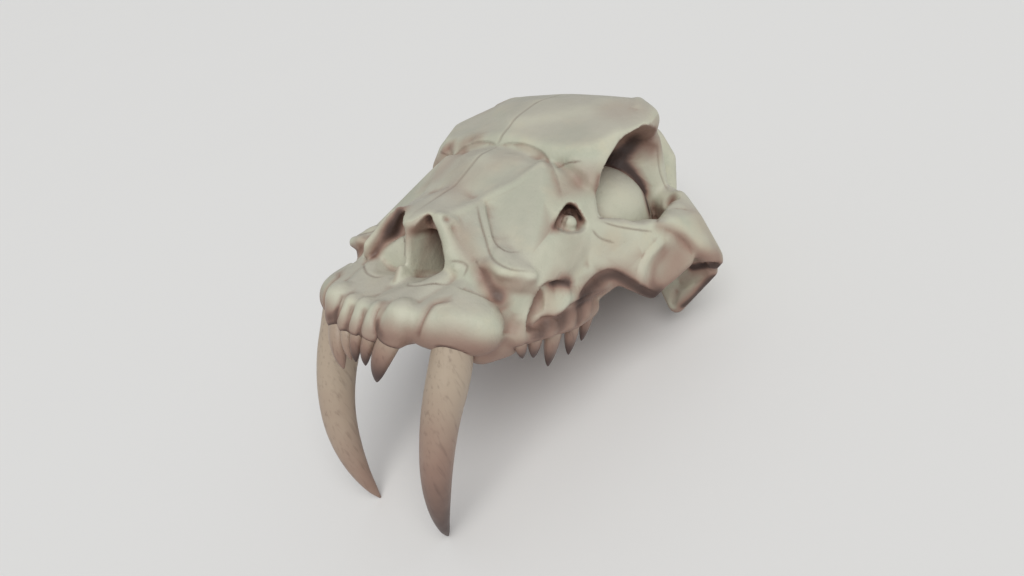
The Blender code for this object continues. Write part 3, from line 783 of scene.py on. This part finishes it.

# %% [markdown]
# ## Painted shade
# These strokes paint shade where the bone is hollow and where it faces the
# ground. They don't move the bone. Each only tells the finish how brown it is
# along a line: how wide the painted shade is, in millimetres, and how strong.
# A strength below zero takes painted shade away there, so the place is painted
# lighter. The painted shade lies in the temple gap, around the eye, under the
# cheek arch, along the gums. Those that only one side of the skull has are in
# a list of their own.

# %% Places of painted shade
SHADE_SPREAD = 1.3
# Painted shade along lines: half width, strength and places.
PAINTED_SHADE = [
    (14, 1.0, [(634, 140), (626, 150), (614, 159)]),
    (9, 1.0, [(610, 161), (626, 168), (638, 180), (645, 196), (649, 210)]),
    (18, 0.62, [(636, 130), (646, 133), (652, 146)]),
    (5, -0.8, [(652, 172), (654, 190), (656, 208)]),
    (8, 1.0, [(569, 206), (575, 208), (580, 217)]),
    (6, 0.8, [(564, 209), (557, 219), (554, 228)]),
    (3.5, 0.5, [(446, 219)]),
    (10, 0.36, [(457, 228), (466, 246), (473, 258)]),
    (10, 0.75, [(484, 272), (490, 284), (498, 297)]),
    (7, 0.4, [(498, 296), (508, 288), (518, 283)]),
    (16, 0.4, [(580, 181), (592, 178)]),
    (16, 0.22, [(572, 176), (564, 190)]),
    (8, 0.9, [(552, 282), (560, 281), (568, 283)]),
    (4, 0.5, [(528, 330), (530, 314), (539, 293)]),
    (10, 0.26, [(548, 290), (545, 304)]),
    (11, 0.9, [(580, 299), (592, 286), (604, 277), (614, 275), (632, 284),
               (648, 294), (660, 296)]),
    (8, 0.5, [(534, 330), (541, 323), (557, 318), (571, 309), (586, 300),
              (604, 291)]),
    (14, 0.68, [(536, 338), (560, 326), (580, 318), (596, 305)]),
    (6, 0.35, [(545, 322), (542, 336)]),
    (6, 0.4, [(563, 314), (561, 330)]),
    (6, 0.4, [(580, 304), (578, 324)]),
    (22, 0.62, [(678, 258), (672, 276), (662, 290)]),
    (7, 0.5, [(664, 252), (655, 264), (652, 280)]),
    (6, 0.42, [(659, 226), (668, 229), (680, 236), (691, 248)]),
    (6, 0.7, [(673, 199), (669, 205)]),
    (7, 1.0, [(692, 267), (706, 265.5), (722, 267)]),
    (11, 0.55, [(704, 256), (718, 258)]),
    (8, 0.95, [(684, 306), (695, 296), (705, 285), (713, 277)]),
    (8, 0.3, [(676, 296), (684, 284), (696, 275)]),
    (16, 0.28, [(698, 215), (710, 236), (718, 250)]),
    (24, 0.2, [(632, 108), (618, 112)]),
    (4, 0.24, [(520, 146), (545, 160), (553, 176), (560, 194)]),
    (16, 0.16, [(508, 158), (480, 172), (455, 190)]),
    (16, 0.62, [(436, 342), (450, 342), (470, 349), (488, 354)]),
    (14, 0.6, [(384, 339), (400, 341), (412, 337)]),
    (4, 0.4, [(377, 322), (380, 334)]),
    (11, 0.35, [(342, 327), (352, 331), (366, 335)]),
    (14, 0.45, [(516, 330), (514, 344), (500, 354)]),
    (10, 0.4, [(500, 310), (507, 326)]),
    (3, 0.4, [(364, 310), (361, 320), (359, 336)]),
    (3, 0.4, [(351, 307), (348, 318), (346, 330)]),
    (3, 0.4, [(342, 297), (337, 310), (336, 324)]),
    (12, 0.35, [(326, 308), (330, 318)]),
    (5, 0.4, [(384, 303), (377, 313), (376, 330)]),
    (5, 0.4, [(446, 301), (433, 305), (427, 314), (420, 332)]),
    (7, -0.8, [(655, 203), (656, 213)]),
    (18, 0.2, [(575, 245), (570, 262), (566, 276)]),
    (22, 0.2, [(612, 250), (628, 262)]),
    (3, 0.5, [(599, 176), (596, 190), (597, 210)]),
]
# Painted shade that only one side gets, because the light falls on the two
# sides differently.
ONE_SIDE_PAINTED_SHADE = [
    (11, 0.95, [(400, 214), (397, 222), (394, 232)]),
    (8, 0.8, [(392, 228), (382, 242), (374, 256)]),
    (9, -0.8, [(396, 250), (388, 262)]),
    (5, 0.75, [(429, 217), (432, 226), (436, 238)]),
    (8, 0.6, [(428, 218), (420, 226), (411, 233)]),
    (5, 0.3, [(430, 236), (428, 254), (425, 272)]),
    (14, -0.95, [(416, 252), (426, 260), (434, 268)]),
    (3, 0.35, [(398, 268), (394, 280)]),
    (10, 0.42, [(464, 143), (471, 140), (478, 137)]),
    (9, 0.6, [(446, 150), (451, 147)]),
    (14, 0.25, [(428, 184), (440, 170), (454, 156)]),
]


def find_painted_shade(item):
    """The strokes that paint shade: each one's depth is its strength."""
    strokes = [seen("stain", width * SHADE_SPREAD, strength, *places,
                    mirrored=mirrored)
               for rows, mirrored in ((PAINTED_SHADE, True), (ONE_SIDE_PAINTED_SHADE, False))
               for width, strength, places in rows]
    return find_strokes(surface_tree(item), strokes)


painted_shade_lines = find_painted_shade(bone)
print("painted_shade_strokes", len(painted_shade_lines))

# %% [markdown]
# ## Fewer triangles
# The voxel mesh has the same tiny faces everywhere. Decimate keeps them where
# the bone turns sharply and spends fewer on the flat roof, which looks the
# same and is lighter to draw.

# %% Thin the mesh
BONE_TRIANGLES = 186000


def triangle_count(item):
    return sum(len(face.vertices) - 2 for face in item.data.polygons)


full = triangle_count(bone)
if full > BONE_TRIANGLES:
    modify(bone, "DECIMATE", ratio=BONE_TRIANGLES / full)
bone.data.shade_smooth()
print("bone", full, "to", triangle_count(bone), "triangles",
      round(time.time() - started, 1))

# %% [markdown]
# ## The teeth
# A sabre is a long flat-sided cone on a curve. A tooth could be turned on a
# lathe only if it were straight, so it is made as a boat's hull is: circles
# are set along the curved axis, each with its own size, and bridged. The
# root runs on into the bone, where nobody sees it.

# %% Teeth along their axes
CANINE_LINE = [(54.3, 43.0, 18.0), (54.3, 41.5, 2.0), (54.0, 40.0, -12.0),
               (53.8, 37.5, -24.0), (52.8, 34.2, -42.0), (51.3, 33.1, -62.0),
               (48.8, 35.0, -83.0), (45.4, 40.0, -103.0), (40.9, 48.4, -124.0),
               (37.6, 55.6, -137.0), (35.9, 59.3, -142.6)]
CANINE_RADII = [11.0, 13.2, 14.1, 14.1, 13.1, 11.9, 10.6, 8.7, 5.5, 2.7, 0.7]
CANINE_FLAT, CANINE_DEEP = 0.92, 1.06
CANINE_SIDES, SMALL_SIDES = 44, 28
# The first number keeps the painted shade at the right teeth's tips lighter;
# the second starts the small teeth darker at the gum.
RIGHT_TIP_SHADE, SMALL_DARK_START = 0.57, 0.22
INCISORS = {
    "incisor_centre": ((0, 14, 5), (0, 11, -17), (4.8, 4.4), 1.5),
    "incisor_second": ((12, 14.6, 5), (7, 13, -18), (4.9, 4.6), 2.0),
    "incisor_third": ((26.2, 19, 6), (16.5, 14, -26.5), (7.8, 6.6), 3.0),
}
CHEEK_TEETH = {
    "cheek_tooth_a": ((78, 75, 4), (76, 81.4, -11.6), (4.2, 5.4), 0.0),
    "cheek_tooth_b": ((78, 90.5, 5), (76, 92.5, -13.8), (4.6, 7.4), 0.0),
    "cheek_tooth_c": ((79, 109, 6), (77, 106.8, -22.7), (5.2, 9.0), 0.0),
    "cheek_tooth_d": ((80, 128, 7), (79, 126.5, -18.5), (4.8, 7.4), 0.0),
    "cheek_tooth_e": ((80, 145.5, 11), (79, 141.1, -11.6), (4.2, 7.0), 0.0),
}


def canine_stations(side):
    path = smooth_line([(side * x, y, z, radius) for (x, y, z), radius
                        in zip(CANINE_LINE, CANINE_RADII)], 2.4)
    return [(Vector(row[:3]), row[3] * CANINE_FLAT, row[3] * CANINE_DEEP)
            for row in path]


def small_stations(side, shape):
    root, tip, (across, along), bow = shape
    start, end = Vector(root), Vector(tip)
    stations = []
    for share in np.linspace(0, 0.985, 26):
        centre = start.lerp(end, share)
        centre.x *= side
        centre.y -= bow * math.sin(math.pi * share)
        left = max(max(0.0, 1 - share ** 2.2) ** 0.75, 0.05)
        stations.append((centre, across * left, along * left))
    return stations


def station_axes(stations, across):
    """Each station's centre, its two half axes and its direction."""
    rows = []
    for index, (centre, width, depth) in enumerate(stations):
        before = stations[max(index - 1, 0)][0]
        after = stations[min(index + 1, len(stations) - 1)][0]
        ahead = (after - before).normalized()
        side = (across - ahead * across.dot(ahead)).normalized()
        rows.append((centre, side * width, ahead.cross(side) * depth, ahead))
    return rows


def make_tooth(name, rows, sides):
    """One closed tooth, which knows how far along it each corner is.

    The finish darkens a tooth towards its tip, partly its own stain and partly
    painted shade. The right teeth get less painted shade there, and the small
    teeth start darker at the gum.
    """
    reach = RIGHT_TIP_SHADE if name.endswith("right_tooth") else 1.0
    start = 0.0 if name.startswith("canine") else SMALL_DARK_START
    bm = bmesh.new()
    share = bm.verts.layers.float.new("along")
    rings = []
    for index, (centre, side, other, ahead) in enumerate(rows):
        place = Matrix((side, other, ahead)).transposed().to_4x4()
        place.translation = centre
        ring = bmesh.ops.create_circle(bm, segments=sides, radius=1.0,
                                       matrix=place)["verts"]
        for vert in ring:
            vert[share] = start + (reach - start) * index / (len(rows) - 1)
        rings.append(ring)
    loops = [[edge for edge in bm.edges
              if edge.verts[0] in ring and edge.verts[1] in ring]
             for ring in map(set, rings)]
    for first, second in zip(loops, loops[1:]):
        bmesh.ops.bridge_loops(bm, edges=first + second)
    bmesh.ops.holes_fill(bm, edges=loops[0] + loops[-1], sides=sides)
    bmesh.ops.recalc_face_normals(bm, faces=bm.faces)
    item = scratch_object(name, bm)
    item.data.shade_smooth()
    return item


def all_teeth():
    """Every tooth's name, its rows of half axes and its sides."""
    plan = []
    for side, word in ((1, "left"), (-1, "right")):
        outward = Vector((side * 0.95, 0.31, 0.0))
        rows = station_axes(canine_stations(side), outward)
        plan.append((f"canine_{word}", rows, CANINE_SIDES))
        outward = Vector((side, 0.25, 0.0))
        for name, shape in (INCISORS | CHEEK_TEETH).items():
            rows = station_axes(small_stations(side, shape), outward)
            if name != "incisor_centre":
                plan.append((f"{name}_{word}", rows, SMALL_SIDES))
            elif side > 0:
                plan.append((name, rows, SMALL_SIDES))
    return plan


teeth = {}
tooth_rows = all_teeth()
for name, rows, sides in tooth_rows:
    teeth[name] = make_tooth(name + "_tooth", rows, sides)
print("teeth", len(teeth), round(time.time() - started, 1))

# %% [markdown]
# ## How occluded the bone is
# The finish paints shade where little light gets in. Each corner of the mesh
# looks around: the more of its short rays meet the bone again, the more
# occluded it is. How hollow or ridged the surface is comes from comparing a
# corner with the average of its neighbours. Both could be baked into a picture;
# stored as numbers on the mesh they need no unwrapping.

# %% Look around from each corner
def shelter(item, reach=34.0, rays=20):
    """Share of short rays from each corner that meet the bone again."""
    tree = surface_tree(item)
    points, normals = mesh_arrays(item)
    turn = math.pi * (3 - math.sqrt(5))
    sky = []
    for number in range(rays):
        up = 0.12 + 0.88 * (number + 0.5) / rays
        flat = math.sqrt(1 - up * up)
        sky.append((flat * math.cos(turn * number),
                    flat * math.sin(turn * number), up))
    sky = np.array(sky)
    share = np.zeros(len(points))
    for index, (point, normal) in enumerate(zip(points, normals)):
        away = Vector(normal)
        side = away.orthogonal().normalized()
        other = away.cross(side)
        start = Vector(point) + away * 0.4
        met = 0.0
        for a, b, c in sky:
            _, _, _, far = tree.ray_cast(start, side * a + other * b
                                         + away * c, reach)
            if far is not None:
                met += 1.0 - 0.6 * far / reach
        share[index] = met / rays
    return share


def neighbours(mesh):
    pairs = np.empty(len(mesh.edges) * 2, int)
    mesh.edges.foreach_get("vertices", pairs)
    return pairs.reshape(-1, 2)


def spread(values, pairs, rounds):
    """Average each corner's value with its neighbours'."""
    first, second = pairs[:, 0], pairs[:, 1]
    count = np.bincount(pairs.ravel(), minlength=len(values))
    for _ in range(rounds):
        total = np.bincount(first, values[second], len(values))
        total += np.bincount(second, values[first], len(values))
        values = 0.5 * values + 0.5 * total / np.maximum(count, 1)
    return values


def hollowness(item, rounds):
    """Above zero where the surface is hollow, below where it is a ridge."""
    points, normals = mesh_arrays(item)
    pairs = neighbours(item.data)
    mean = np.stack([spread(points[:, k], pairs, rounds)
                     for k in range(3)], 1)
    return ((mean - points) * normals).sum(1)


# The finish turns this into painted shade where the bone is occluded.
occluded = shelter(bone)
bend = hollowness(bone, 6)
for word, values in (("shelter", occluded), ("bend", bend)):
    print(word, np.percentile(values, [5, 25, 50, 75, 95]).round(3))

# %% [markdown]
# ## Where the teeth leave the bone
# A brown ring of painted shade goes around each tooth where it leaves the
# bone. The ring is found from the tooth's own axes: a corner of the bone is
# near the gum line if it is level with the place where the tooth comes out and
# close to the tooth's side.

# %% Bone around a tooth
GUM_REACH, GUM_LEVEL, GUM_WIDTH = 18, 2.4, 1.5


def mouth_rows(tree, rows):
    """The short stretch of a tooth where it comes out of the bone."""
    for centre, side, _, _ in rows:
        place, normal, _, _ = tree.find_nearest(centre)
        if (centre - place).dot(normal) > 0:
            break
    reach = 0.6 * side.length + 2
    return [row for row in rows if (row[0] - centre).length < reach]


def gum(points, rows):
    """1 at the bone that touches a tooth, falling to 0 a little way off."""
    found = np.zeros(len(points))
    centres = np.array([list(row[0]) for row in rows])
    low, high = centres.min(0) - GUM_REACH, centres.max(0) + GUM_REACH
    near = np.nonzero(((points > low) & (points < high)).all(1))[0]
    for start in range(0, len(near), BATCH):
        part = near[start:start + BATCH]
        apart = points[part][:, None, :] - centres[None, :, :]
        best = (apart ** 2).sum(2).argmin(1)
        offset = apart[np.arange(len(part)), best]
        sides = np.array([list(rows[k][1]) for k in best])
        others = np.array([list(rows[k][2]) for k in best])
        wide = np.linalg.norm(sides, axis=1)
        deep = np.linalg.norm(others, axis=1)
        ring = np.hypot((offset * sides).sum(1) / wide ** 2,
                        (offset * others).sum(1) / deep ** 2)
        gap = (ring - 1) * (wide + deep) / 2
        ahead = np.array([list(rows[k][3]) for k in best])
        level = np.abs((offset * ahead).sum(1)) < GUM_LEVEL
        found[part] = np.clip(1 - np.abs(gap) / GUM_WIDTH, 0, 1) * level
    return found


# %% [markdown]
# ## Painting on the mesh
# A finish can read a number from each corner, as a painter works from a
# sketch. Five numbers are stored on the bone: how occluded and how hollow it
# is, how close to a sharp mark, how far it faces down, and the painted shade of
# the strokes. The finish turns them into painted light and shade.

# %% Paint the bone
# The second number sets how dark the ring of painted shade around each tooth
# is.
MARK_WIDTH, GUM_SHADE = 1.5, 0.85


def add_attribute(item, name, values):
    layer = item.data.attributes.new(name, "FLOAT", "POINT")
    layer.data.foreach_set("value", np.clip(values, 0, 1).astype("f"))


def paint_bone(item):
    pairs = neighbours(item.data)
    points, normals = mesh_arrays(item)
    # The finish paints shade where this is high and a paler highlight where it
    # is low.
    add_attribute(item, "hollow", 0.5 + spread(bend, pairs, 1) * 1.2)
    # The finish paints shade along the sharp marks from this.
    line = np.zeros(len(points))
    for stroke in sharp_lines:
        near, effect = stroke_effect(points, normals, *stroke[:3], "crease",
                                     MARK_WIDTH, 1.0)
        line[near] = np.maximum(line[near], effect)
    add_attribute(item, "line", line)
    # Strokes and gum rings add painted shade; strokes below zero take it away.
    unshaded = np.ones(len(points))
    shade_left = np.ones(len(points))
    for stroke in painted_shade_lines:
        near, effect = stroke_effect(points, normals, *stroke)
        unshaded[near] *= 1 - np.clip(effect, 0, 1)
        shade_left[near] *= 1 + np.clip(effect, -1, 0)
    tree = surface_tree(item)
    # A ring of painted shade where each tooth leaves the bone.
    for _, rows, _ in tooth_rows:
        unshaded *= 1 - GUM_SHADE * gum(points, mouth_rows(tree, rows))
    painted_shade = (1 - unshaded) * shade_left
    add_attribute(item, "painted_shade", painted_shade)
    # Painted shade where the bone is occluded, lifted where the strokes take it
    # away.
    add_attribute(item, "occluded", spread(occluded, pairs, 2) * shade_left)
    # 0 facing up, 1 facing down: the finish paints a lilac light tint on top
    #                             and brown shade underneath.
    add_attribute(item, "under", spread(0.5 - 0.5 * normals[:, 2], pairs, 3))
    print("share of corners with soil", round(float((painted_shade > 0.1).mean()), 3),
          "seconds", round(time.time() - started, 1))


paint_bone(bone)

# %% [markdown]
# ## Materials in short
# A Blender material is a net of small boxes. Drawn by hand it is clear; in a
# script each box takes five lines. The class below makes a box in one line and
# joins whatever it is given, so that a finish reads like a recipe. A layer
# lays one colour over another where its mask is high.

# %% A short way to write materials
SMOOTH, EVEN = "SMOOTHSTEP", "LINEAR"


class Finish:
    """A material that is written as one line for each node."""

    def __init__(self, name):
        self.material = bpy.data.materials.new(name)
        self.material.use_nodes = True
        self.tree = self.material.node_tree
        self.shader = self.tree.nodes["Principled BSDF"]

    def node(self, kind, settings=None, **sockets):
        """A node; i0, i1 and so on are its inputs by number."""
        made = self.tree.nodes.new("ShaderNode" + kind)
        for key, value in (settings or {}).items():
            setattr(made, key, value)
        for key, value in sockets.items():
            socket = made.inputs[int(key[1:]) if key[0] == "i"
                                 and key[1:].isdigit() else key]
            if isinstance(value, bpy.types.NodeSocket):
                self.tree.links.new(value, socket)
            else:
                socket.default_value = value
        return made

    def painted(self, name):
        return self.node("Attribute", {"attribute_name": name}).outputs["Fac"]

    def span(self, value, low, high, bottom, top, kind=EVEN):
        """Bottom where the value is low, top where it is high."""
        return self.node("MapRange", {"interpolation_type": kind}, i0=value,
                         i1=low, i2=high, i3=bottom, i4=top).outputs[0]

    def place(self):
        return self.node("TexCoord").outputs["Object"]

    def noise(self, scale, detail=4.0, rough=0.55):
        return self.node("TexNoise", i0=self.place(), Scale=scale,
                         Detail=detail, Roughness=rough).outputs[0]

    def math(self, operation, first, second):
        return self.node("Math", {"operation": operation}, i0=first,
                         i1=second).outputs[0]

    def ragged(self, value, noise, amount):
        """The value with noise added, so that its edge is uneven."""
        centred = self.math("SUBTRACT", noise, 0.5)
        return self.math("ADD", value, self.math("MULTIPLY", centred, amount))

    def mix(self, share, first, second):
        """Two colours, each given as three numbers or as a socket."""
        first, second = (
            value if isinstance(value, bpy.types.NodeSocket) else (*value, 1.0)
            for value in (first, second))
        return self.node("Mix", {"data_type": "RGBA"}, i0=share, i6=first,
                         i7=second).outputs[2]

    def layers(self, colour, masks, rows):
        """Colours laid over the first one, each through its mask."""
        for mask, low, high, cover, over, kind in rows:
            share = self.span(masks[mask], low, high, 0.0, cover, kind)
            colour = self.mix(share, colour, over)
        return colour

    def bump(self, height, distance, **normal):
        return self.node("Bump", Strength=1.0, Distance=distance,
                         Height=height, **normal).outputs[0]

    def join(self, **outputs):
        for name, value in outputs.items():
            socket = self.shader.inputs[name.replace("_", " ")]
            self.tree.links.new(value, socket)


print("finishes are written with", Finish.__name__)

# %% [markdown]
# ## The bone's finish
# Old bone is pale with a green and yellow cast and a fine brown grain. A grey
# lilac tint on faces turned up, as on the top of the snout, and a paler cream
# on ridges are painted light. Brown painted shade lies where the bone is
# occluded, in the hollows, along the creases and on faces turned down. The
# values painted above steer the colours, and noise in the piece's own
# coordinates breaks them up so nothing looks flat.

# %% Bone
PALE = (0.565, 0.560, 0.450)
CREAM = (0.595, 0.565, 0.430)
GREENISH = (0.470, 0.485, 0.385)
# Painted light: a grey lilac tint on faces turned up.
LILAC = (0.400, 0.360, 0.330)
# Painted highlight: a paler cream on ridges.
RIDGE = (0.590, 0.585, 0.470)
# Painted shade from red brown to dark; the middle brown also colours the real
# grain.
SHADE_RED_BROWN = (0.300, 0.180, 0.140)
BROWN = (0.150, 0.085, 0.065)
DARK = (0.045, 0.024, 0.020)
# Only the noise layers and the grain are the bone's own colour; the rest is
# painted light and shade.
BONE_LAYERS = [
    ("broad", 0.38, 0.62, 1.0, GREENISH, SMOOTH),
    ("middle", 0.48, 0.70, 0.6, CREAM, SMOOTH),
    ("under", 0.24, 0.03, 0.5, LILAC, SMOOTH),
    ("hollow", 0.44, 0.15, 0.3, RIDGE, SMOOTH),
    ("hollow", 0.56, 0.95, 0.6, SHADE_RED_BROWN, SMOOTH),
    ("under", 0.42, 0.86, 0.85, SHADE_RED_BROWN, SMOOTH),
    ("under", 0.84, 1.0, 0.5, BROWN, SMOOTH),
    ("occluded", 0.30, 0.72, 0.75, SHADE_RED_BROWN, SMOOTH),
    ("occluded", 0.55, 0.95, 0.9, DARK, SMOOTH),
    ("painted_shade", 0.03, 0.72, 0.94, SHADE_RED_BROWN, EVEN),
    ("painted_shade", 0.58, 1.0, 0.95, DARK, SMOOTH),
    ("line", 0.0, 1.0, 0.92, BROWN, EVEN),
    ("grain", 0.60, 0.80, 0.25, BROWN, SMOOTH),
]


def bone_finish():
    finish = Finish("bone")
    masks = {name: finish.painted(name)
             for name in ("under", "hollow", "occluded", "painted_shade", "line")}
    masks["broad"] = finish.noise(16.0, 3.0)
    masks["middle"] = finish.noise(45.0)
    masks["grain"] = finish.noise(700.0, 5.0, 0.65)
    for name, amount in (("occluded", 0.25), ("painted_shade", 0.12)):
        masks[name] = finish.ragged(masks[name], masks["middle"], amount)
    rough = finish.span(finish.noise(120.0), 0.3, 0.7, 0.46, 0.62)
    normal = finish.bump(finish.noise(170.0), 0.0006)
    normal = finish.bump(masks["grain"], 0.00018, Normal=normal)
    finish.join(Base_Color=finish.layers(PALE, masks, BONE_LAYERS),
                Roughness=rough, Normal=normal)
    return finish.material


bone_material = bone_finish()
print("bone layers", len(BONE_LAYERS))

# %% [markdown]
# ## The teeth's finish
# Enamel and dentine take up more stain towards the tip, where they are thin,
# and painted shade darkens the tip further, less on the right teeth. They are
# smoother than bone, with faint streaks along the tooth, which come from noise
# that is stretched upwards.

# %% Teeth
GUM_END = (0.450, 0.365, 0.280)
MIDDLE = (0.300, 0.190, 0.147)
TIP_END = (0.062, 0.031, 0.026)
# The first two layers darken the tooth towards its tip, partly its own stain
# and partly painted shade; the streaks are its own colour.
TOOTH_LAYERS = [
    ("along", 0.15, 0.60, 1.0, MIDDLE, SMOOTH),
    ("along", 0.46, 0.93, 1.0, TIP_END, SMOOTH),
    ("streaks", 0.5, 0.8, 0.35, TIP_END, SMOOTH),
]


def tooth_finish():
    finish = Finish("tooth")
    broad = finish.noise(40.0, 3.0)
    place = finish.node("Mapping", i0=finish.place(), Scale=(1.0, 1.0, 0.12))
    streaks = finish.node("TexNoise", i0=place.outputs[0], Scale=420.0,
                          Detail=4.0).outputs[0]
    masks = {"along": finish.ragged(finish.painted("along"), broad, 0.18),
             "streaks": streaks}
    finish.join(Base_Color=finish.layers(GUM_END, masks, TOOTH_LAYERS),
                Roughness=finish.span(broad, 0.3, 0.7, 0.34, 0.48),
                Normal=finish.bump(streaks, 0.00022))
    return finish.material


tooth_material = tooth_finish()
print("tooth layers", len(TOOTH_LAYERS))

# %% [markdown]
# ## Stand the pieces up
# The pieces were made in millimetres in the skull's frame. The same matrix
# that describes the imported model's rest puts them in its place, and each one
# hides the plain solid that it stands for.

# %% Place, ride and replace
def set_down(item, material, node):
    item.data.transform(STAND)
    item.data.materials.clear()
    item.data.materials.append(material)
    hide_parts(node)
    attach(item, "root")


set_down(bone, bone_material, "cranium")
for name, item in teeth.items():
    set_down(item, tooth_material, name)
print("placed", 1 + len(teeth))

# %% [markdown]
# ## Floor and light
# The floor is plain and pale and runs past the picture's edge. The light is a
# bright even sky and one sun with a wide soft disc, behind the camera, above
# it and a little to its left, so that the forms read through soft shade.

# %% Studio
def make_floor():
    bm = bmesh.new()
    bmesh.ops.create_grid(bm, x_segments=1, y_segments=1, size=60.0)
    floor = scratch_object("studio_floor", bm)
    finish = Finish("floor")
    colour = finish.mix(finish.noise(3.0), (0.80, 0.80, 0.80),
                        (0.81, 0.81, 0.81))
    finish.join(Base_Color=colour)
    finish.shader.inputs["Roughness"].default_value = 0.9
    floor.data.materials.append(finish.material)


def make_light():
    world = bpy.data.worlds.new("studio_sky")
    bpy.context.scene.world = world
    world.use_nodes = True
    sky = world.node_tree.nodes["Background"]
    sky.inputs["Color"].default_value = (0.90, 0.91, 0.92, 1.0)
    sky.inputs["Strength"].default_value = 0.46
    data = bpy.data.lights.new("soft_key", "SUN")
    data.energy = 1.75
    data.angle = math.radians(50)
    data.color = (1.0, 0.985, 0.95)
    lamp = bpy.data.objects.new("soft_key", data)
    bpy.context.scene.collection.objects.link(lamp)
    beam = STAND.to_3x3() @ (AHEAD * 0.85 + RIGHT * 0.08 + DOWN * 0.34)
    lamp.rotation_euler = beam.to_track_quat("-Z", "Y").to_euler()


make_floor()
make_light()
print("studio ready")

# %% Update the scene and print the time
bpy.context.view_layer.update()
print("seconds", round(time.time() - started, 1))
